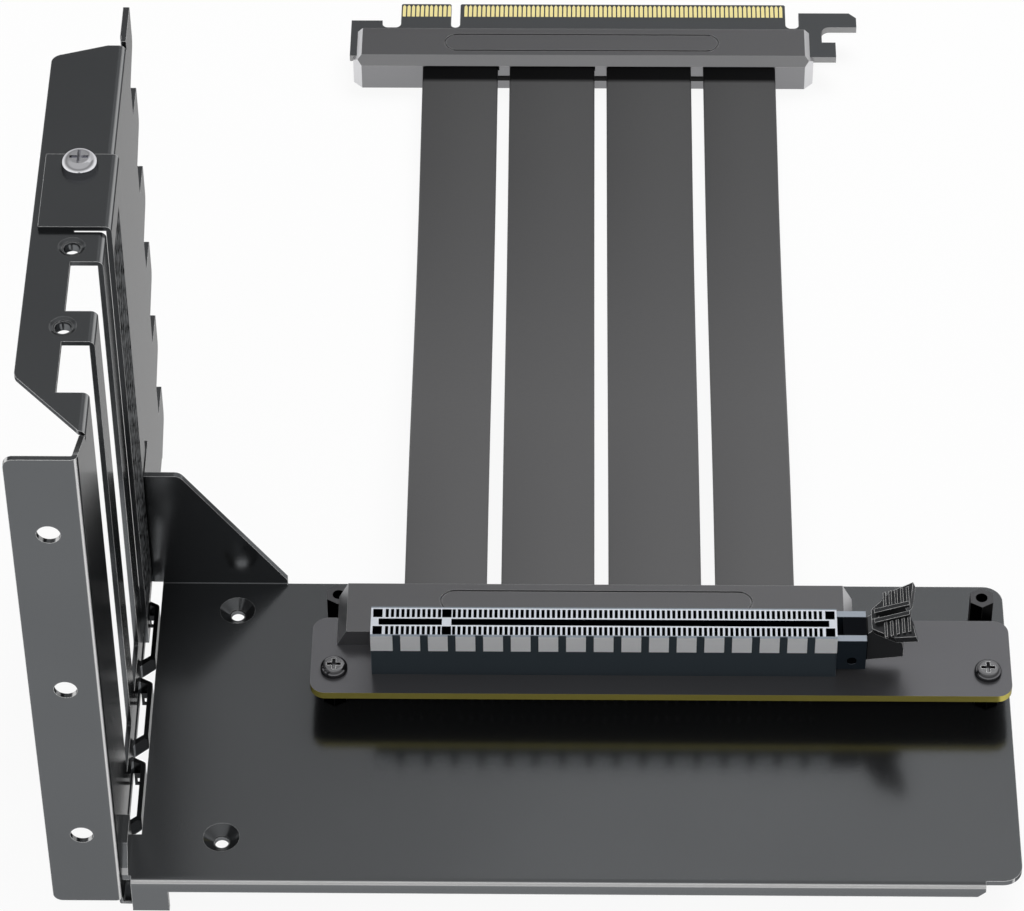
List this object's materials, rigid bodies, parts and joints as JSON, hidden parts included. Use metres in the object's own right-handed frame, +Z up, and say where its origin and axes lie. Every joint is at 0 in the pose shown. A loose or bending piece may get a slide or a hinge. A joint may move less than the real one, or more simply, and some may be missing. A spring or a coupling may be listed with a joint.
{
  "type": "vertical graphics card bracket",
  "caption": "Folded sheet bracket that holds a graphics card upright, with a riser board, a long card slot and a flat ribbon cable to an edge-card plug.",
  "frame": {"origin": "on the surface the bracket stands on, below the middle of the box of bracket and base, without the cable and its plug", "axes": "+X from the slot plate along the base, +Y from the front flange towards the cable and plug, +Z up"},
  "size_m": [0.1822, 0.2528, 0.1225],
  "materials": {
    "black_coat": "black powder coat",
    "chrome_screw": "bright chrome",
    "black_screw": "black oxide",
    "black_post": "black zinc",
    "board_mask": "solder mask",
    "slot_plastic": "moulded",
    "spring_gold": "gold plated",
    "solder": "tinned",
    "latch_plastic": "moulded",
    "cover_plastic": "moulded",
    "ribbon_jacket": "satin jacket",
    "finger_gold": "gold plated"
  },
  "bodies": {
    "bracket": {"bracket_plate": "black_coat", "slot_cover": "black_coat", "slot_cover_screw": "chrome_screw", "base_plate": "black_coat", "gusset_screw": "black_screw", "near_post_left": "black_post", "near_post_right": "black_post", "far_post_left": "black_post", "far_post_right": "black_post", "riser_board": "board_mask", "board_screw_left": "black_screw", "board_screw_right": "black_screw", "slot_housing": "slot_plastic", "slot_contacts": "spring_gold", "slot_pins": "solder", "cable_cover_upper": "cover_plastic", "cable_cover_lower": "cover_plastic", "ribbon_1": "ribbon_jacket", "ribbon_2": "ribbon_jacket", "ribbon_3": "ribbon_jacket", "ribbon_4": "ribbon_jacket", "plug_board": "board_mask", "plug_contacts": "finger_gold", "plug_shell_lower": "cover_plastic", "plug_shell_upper": "cover_plastic"},
    "latch": {"slot_latch": "latch_plastic"}
  },
  "joints": [
    {"name": "latch_pivot", "type": "hinge", "parent": "bracket", "child": "latch", "pos_m": [0.05995, -0.0133, 0.0215], "axis": [0, 1, 0], "range_deg": [0, 20]}
  ]
}
